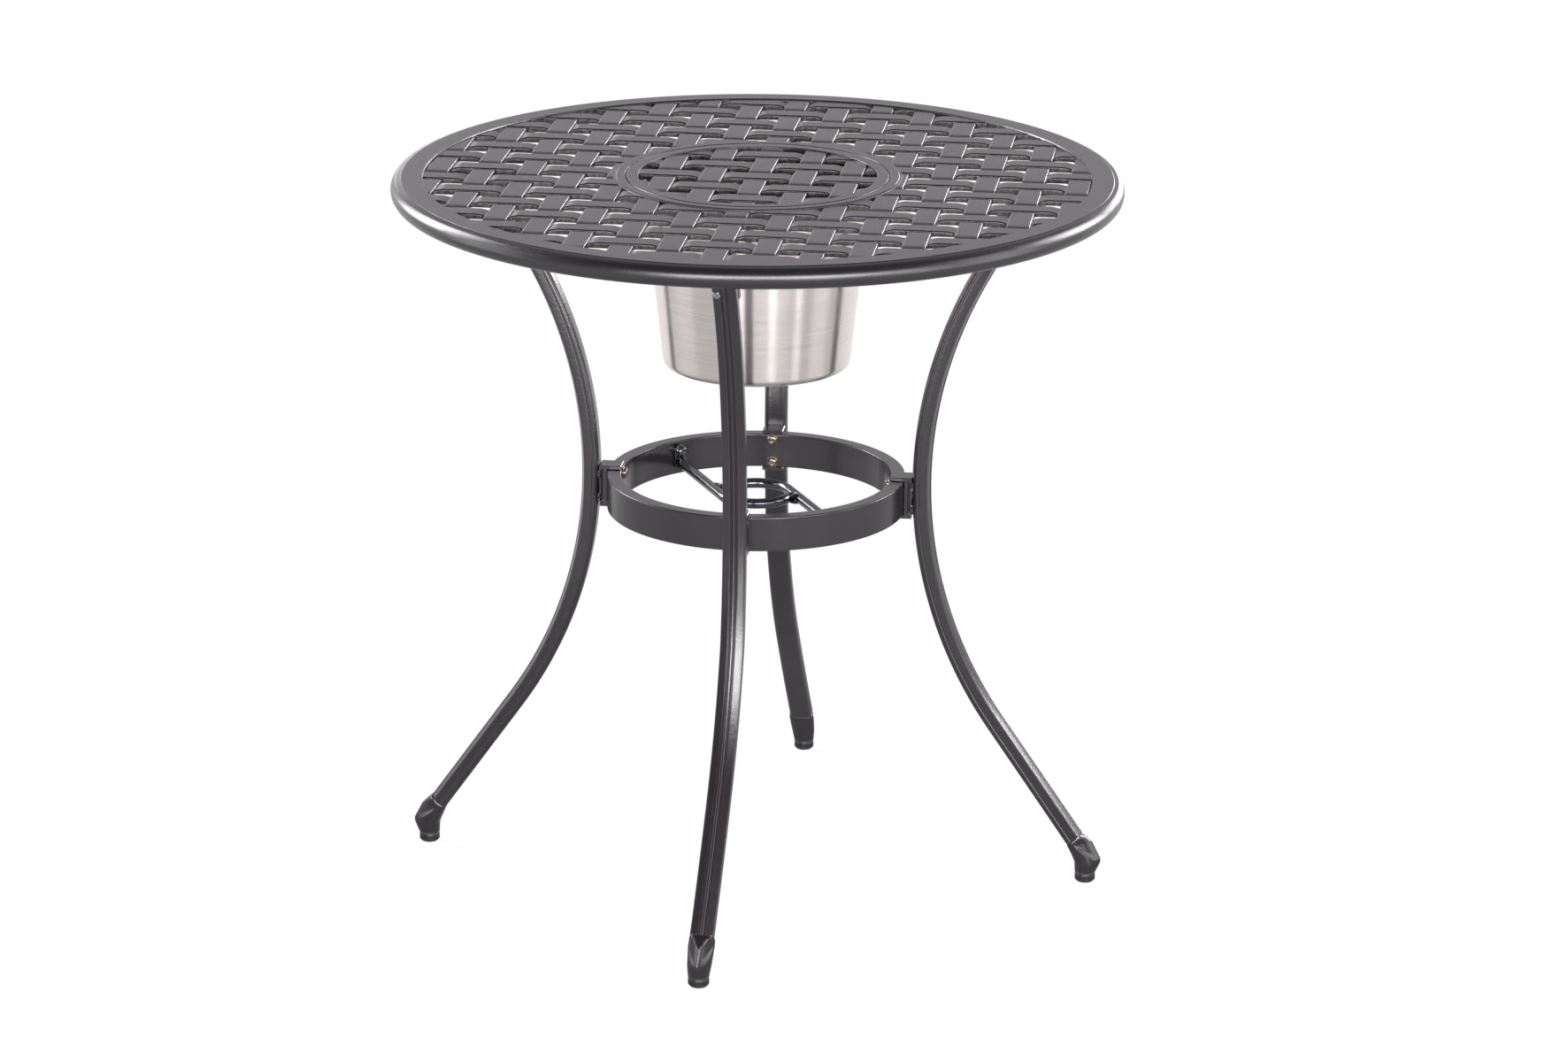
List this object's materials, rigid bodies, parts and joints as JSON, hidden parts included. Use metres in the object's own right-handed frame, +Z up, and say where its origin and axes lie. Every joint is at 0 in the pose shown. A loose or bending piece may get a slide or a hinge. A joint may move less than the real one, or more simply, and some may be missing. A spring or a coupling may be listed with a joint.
{
  "type": "ice bucket patio table",
  "caption": "Round bistro-height cast patio table with a basket-weave top, a lift-out steel ice bucket under a woven lid, and splayed saber legs on a stretcher ring.",
  "frame": {"origin": "on the floor under the centre of the table", "axes": "+Z up, -Y towards the front leg, legs on +X, +Y, -X and -Y"},
  "size_m": [0.7108, 0.7108, 0.711],
  "materials": {
    "cast_top": "grey powder coat with a fine grain, semi-matt",
    "painted_frame": "charcoal powder coat over a lightly hammered casting",
    "bucket_steel": "stainless steel brushed round the wall",
    "plated_fixings": "bright zinc plate",
    "glide_plastic": "black, moulded"
  },
  "bodies": {
    "table_frame": {"tabletop": "cast_top", "stretcher_ring": "painted_frame", "leg_right": "painted_frame", "foot_right": "painted_frame", "bracket_right": "painted_frame", "ring_screw_right_upper": "plated_fixings", "ring_screw_right_lower": "plated_fixings", "leg_screw_right": "plated_fixings", "leg_back": "painted_frame", "foot_back": "painted_frame", "bracket_back": "painted_frame", "ring_screw_back_upper": "plated_fixings", "ring_screw_back_lower": "plated_fixings", "leg_screw_back": "plated_fixings", "leg_left": "painted_frame", "foot_left": "painted_frame", "bracket_left": "painted_frame", "ring_screw_left_upper": "plated_fixings", "ring_screw_left_lower": "plated_fixings", "leg_screw_left": "plated_fixings", "leg_front": "painted_frame", "foot_front": "painted_frame", "bracket_front": "painted_frame", "ring_screw_front_upper": "plated_fixings", "ring_screw_front_lower": "plated_fixings", "leg_screw_front": "plated_fixings", "crossbar_rod_left": "painted_frame", "crossbar_screw_left": "plated_fixings", "crossbar_rod_right": "painted_frame", "crossbar_screw_right": "plated_fixings"},
    "bucket": {"bucket": "bucket_steel"},
    "lid": {"lid": "cast_top"},
    "glide_right": {"glide_right": "glide_plastic"},
    "glide_back": {"glide_back": "glide_plastic"},
    "glide_left": {"glide_left": "glide_plastic"},
    "glide_front": {"glide_front": "glide_plastic"}
  },
  "joints": [
    {"name": "bucket_lift", "type": "slide", "parent": "table_frame", "child": "bucket", "axis": [0, 0, 1], "range_m": [0, 0.22]},
    {"name": "lid_lift", "type": "slide", "parent": "bucket", "child": "lid", "axis": [0, 0, 1], "range_m": [0, 0.06]},
    {"name": "glide_right_level", "type": "slide", "parent": "table_frame", "child": "glide_right", "axis": [0, 0, -1], "range_m": [0, 0.006]},
    {"name": "glide_back_level", "type": "slide", "parent": "table_frame", "child": "glide_back", "axis": [0, 0, -1], "range_m": [0, 0.006]},
    {"name": "glide_left_level", "type": "slide", "parent": "table_frame", "child": "glide_left", "axis": [0, 0, -1], "range_m": [0, 0.006]},
    {"name": "glide_front_level", "type": "slide", "parent": "table_frame", "child": "glide_front", "axis": [0, 0, -1], "range_m": [0, 0.006]}
  ]
}
